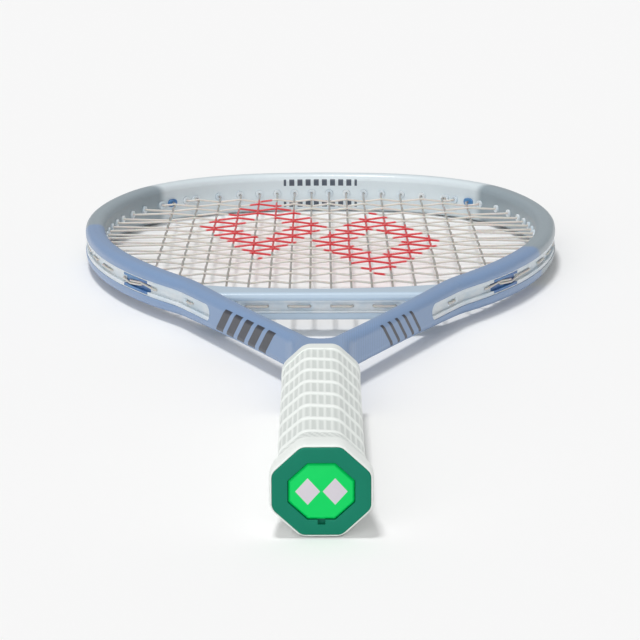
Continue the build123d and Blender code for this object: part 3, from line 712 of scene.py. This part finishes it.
class RACKET_OT_grommets(RacketOperator, bpy.types.Operator):
    """Give the grommet strips, the bumper guard and the corner inserts their plastics"""

    bl_idname = "racket.grommets"
    bl_label = "Finish grommets"

    def execute(self, context):
        plastics = context.scene.racket_plastics
        clear = clear_plastic("clear_grommet", plastics.grommet, GROMMET_DEPTH, 0.1)
        dress(["grommet_strip_left", "grommet_strip_right", "bridge_grommet_strip", "head_bumper_guard"],
              clear)
        blue = clear_plastic("blue_insert", plastics.insert, INSERT_DEPTH, 0.2)
        dress([f"{level}_corner_insert_{side}" for level in ("upper", "lower") for side in ("left", "right")],
              blue)
        return {"FINISHED"}


class RACKET_OT_strings(RacketOperator, bpy.types.Operator):
    """Give the strings, their outer turns and their knots the string finish and stencil"""

    bl_idname = "racket.strings"
    bl_label = "Finish strings"

    def execute(self, context):
        strings = context.scene.racket_strings
        # The mains get the darker colour, painted shade on the same string as the crosses.
        dress(["main_strings"], string_finish("main_string", strings.shaded_mains, strings))
        dress(["cross_strings", "main_string_returns", "cross_string_returns"],
              string_finish("cross_string", strings.crosses, strings))
        return {"FINISHED"}


class RACKET_OT_grip(RacketOperator, bpy.types.Operator):
    """Wind the grip round the handle and close it with the finishing tape"""

    bl_idname = "racket.grip"
    bl_label = "Wind grip"

    def execute(self, context):
        grip = context.scene.racket_grip
        wound = finish_piece(make_grip(grip), grip_finish(grip), BODY, ["grip_wrap"])
        finish_piece(make_tape(grip), tape_finish(grip), BODY, ["grip_finishing_tape"])
        return {"FINISHED"}


class RACKET_OT_butt(RacketOperator, bpy.types.Operator):
    """Build the butt cap, its trap door and the staples' finish"""

    bl_idname = "racket.butt"
    bl_label = "Build butt"

    def execute(self, context):
        plastics = context.scene.racket_plastics
        cap = moulded_plastic("cap_plastic", plastics.cap, (0.9, 1.08))
        finish_piece(make_cap(), cap.material, BODY, ["butt_cap"])
        finish_piece(make_door(), door_finish(plastics), DOOR_BODY, ["butt_door"])
        steel = moulded_plastic("staple_steel", STEEL, (0.9, 1.05))
        steel.set(Metallic=1.0)
        dress(["butt_cap_staples"], steel.material)
        return {"FINISHED"}


class RACKET_OT_stage(RacketOperator, bpy.types.Operator):
    """Set the pale floor, the soft lights and the camera"""

    bl_idname = "racket.stage"
    bl_label = "Set stage"

    def execute(self, context):
        stage = context.scene.racket_stage
        context.scene.view_settings.view_transform = "Standard"
        make_floor(stage)
        make_lights(context.scene)
        make_camera(context.scene, stage)
        return {"FINISHED"}


# ---------------------------------------------------------------- stage
SUNS = [("overhead_light", 1.45, 12, (0.14, 0.03, -1.0)), ("front_fill", 1.25, 60, (0.25, 1.0, -0.36))]
LIP_REST = 3 * MM
FLOOR_DROP = 0.02 * MM
FLOOR_HALF = 12.0
FLOOR_GRID = 8
SKY_STRENGTH = 0.4
CAMERA_SHIFT = -0.00125
CAMERA_ROLL = math.radians(-0.2)


def make_floor(stage):
    """A floor that the butt's lip and the tip's underside both rest on, so it rises towards the tip."""
    tip_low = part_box("frame_hairpin")[0].z
    butt_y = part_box("grip_wrap")[0].y + LIP_REST
    slope = tip_low / (TIP_Y - butt_y)
    steps = [FLOOR_HALF * (2 * i / FLOOR_GRID - 1) for i in range(FLOOR_GRID + 1)]
    points = [(x, y, (y - butt_y) * slope - FLOOR_DROP) for y in steps for x in steps]
    side = FLOOR_GRID + 1
    faces = [(i + j * side, i + 1 + j * side, i + 1 + (j + 1) * side, i + (j + 1) * side)
             for j in range(FLOOR_GRID) for i in range(FLOOR_GRID)]
    floor = mesh_piece("studio_floor", points, faces)
    finish = Finish("pale_floor", Roughness=0.9, Specular_IOR_Level=0.0)
    finish.set(Base_Color=finish.tone(stage.floor, finish.noise(3, 2), 0.998, 1.0))
    floor.data.materials.append(finish.material)


def make_lights(scene):
    """An even pale sky, a broad light overhead and a soft fill from behind the camera."""
    world = bpy.data.worlds.new("studio_sky")
    world.use_nodes = True
    background = world.node_tree.nodes["Background"]
    background.inputs["Color"].default_value = (1, 1, 1, 1)
    background.inputs["Strength"].default_value = SKY_STRENGTH
    scene.world = world
    for name, strength, angle, way in SUNS:
        sun = bpy.data.lights.new(name, "SUN")
        sun.energy = strength
        sun.angle = math.radians(angle)
        lamp = bpy.data.objects.new(name, sun)
        lamp.rotation_euler = Vector(way).to_track_quat("-Z", "Y").to_euler()
        scene.collection.objects.link(lamp)


def make_camera(scene, stage):
    """The camera: behind the butt, above the handle, looking along it."""
    data = bpy.data.cameras.new("camera")
    data.lens = stage.lens
    data.sensor_width = 36.0
    data.clip_start, data.clip_end = 0.05, 60
    data.shift_x = CAMERA_SHIFT
    camera = bpy.data.objects.new("camera", data)
    camera.location = (0, BUTT_Y - stage.camera_distance, STRING_LEVEL + stage.camera_height)
    tilt = Matrix.Rotation(math.pi / 2 - stage.camera_tilt, 4, "X")
    roll = Matrix.Rotation(CAMERA_ROLL, 4, "Z")
    camera.rotation_euler = (tilt @ roll).to_euler()
    scene.collection.objects.link(camera)
    scene.camera = camera


# ---------------------------------------------------------------- add-on
OPERATORS = (RACKET_OT_paint, RACKET_OT_grommets, RACKET_OT_strings, RACKET_OT_grip, RACKET_OT_butt,
             RACKET_OT_stage)


class RACKET_PT_panel(bpy.types.Panel):
    """The racket's settings and steps"""

    bl_idname = "RACKET_PT_panel"
    bl_label = "Tennis racket"
    bl_space_type = "VIEW_3D"
    bl_region_type = "UI"
    bl_category = "Racket"

    def draw(self, context):
        for operator in OPERATORS:
            self.layout.operator(operator.bl_idname)
        for name, group in SETTINGS.items():
            box = self.layout.box()
            for setting in group.__annotations__:
                box.prop(getattr(context.scene, name), setting)


def register():
    for kind in (*SETTINGS.values(), *OPERATORS, RACKET_PT_panel):
        bpy.utils.register_class(kind)
    for name, group in SETTINGS.items():
        setattr(bpy.types.Scene, name, bpy.props.PointerProperty(type=group))


def unregister():
    for name in SETTINGS:
        delattr(bpy.types.Scene, name)
    for kind in reversed((*SETTINGS.values(), *OPERATORS, RACKET_PT_panel)):
        bpy.utils.unregister_class(kind)


def write_size():
    """Brings the scene's view layer up to date."""
    bpy.context.view_layer.update()


def main():
    register()
    bpy.ops.racket.paint()
    bpy.ops.racket.grommets()
    bpy.ops.racket.strings()
    bpy.ops.racket.grip()
    bpy.ops.racket.butt()
    bpy.ops.racket.stage()
    write_size()


if __name__ == "__main__":
    main()
